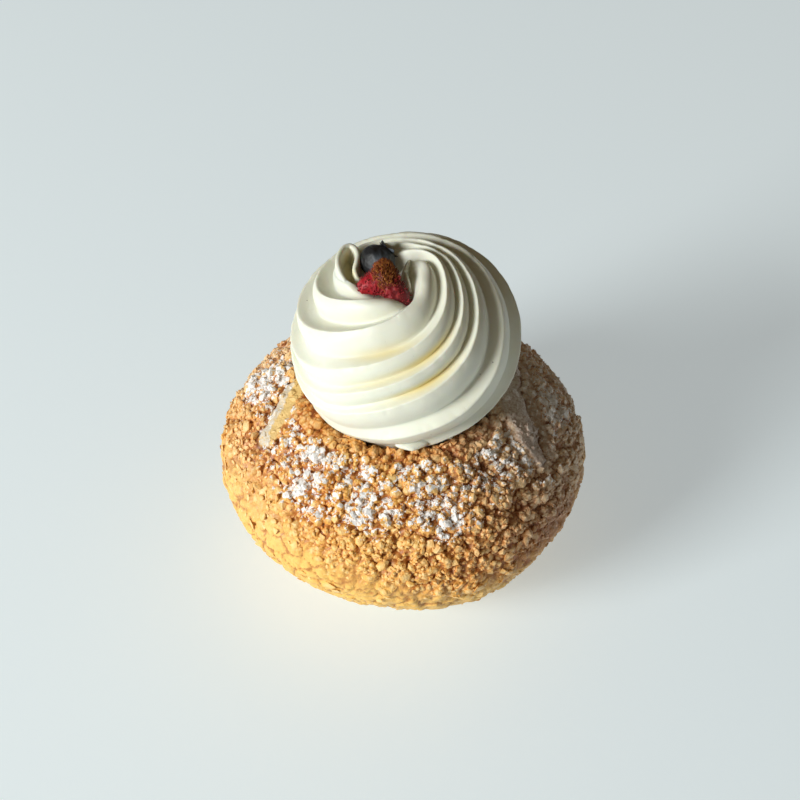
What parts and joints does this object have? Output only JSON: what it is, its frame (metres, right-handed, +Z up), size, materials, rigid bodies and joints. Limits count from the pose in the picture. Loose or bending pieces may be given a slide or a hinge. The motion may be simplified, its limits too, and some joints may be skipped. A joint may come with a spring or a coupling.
{
  "type": "cream puff",
  "caption": "Round choux bun with a crackled craquelin crust, a piped spiral of whipped cream and berries on top.",
  "frame": {"origin": "middle of the flat spot that the bun stands on", "axes": "+Z up through the cream swirl, -Y towards the side with the strawberry piece, +X to the right of it"},
  "size_m": [0.101, 0.0998, 0.101],
  "materials": {
    "baked_crust": "matte",
    "whipped_cream": "satin",
    "blueberry_skin": "satin",
    "dried_strawberry": "matte",
    "icing_sugar": "matte"
  },
  "bodies": {
    "root": {"choux_bun": "baked_crust", "cream_swirl": "whipped_cream", "blueberry": "blueberry_skin", "strawberry_piece": "dried_strawberry"}
  },
  "joints": []
}
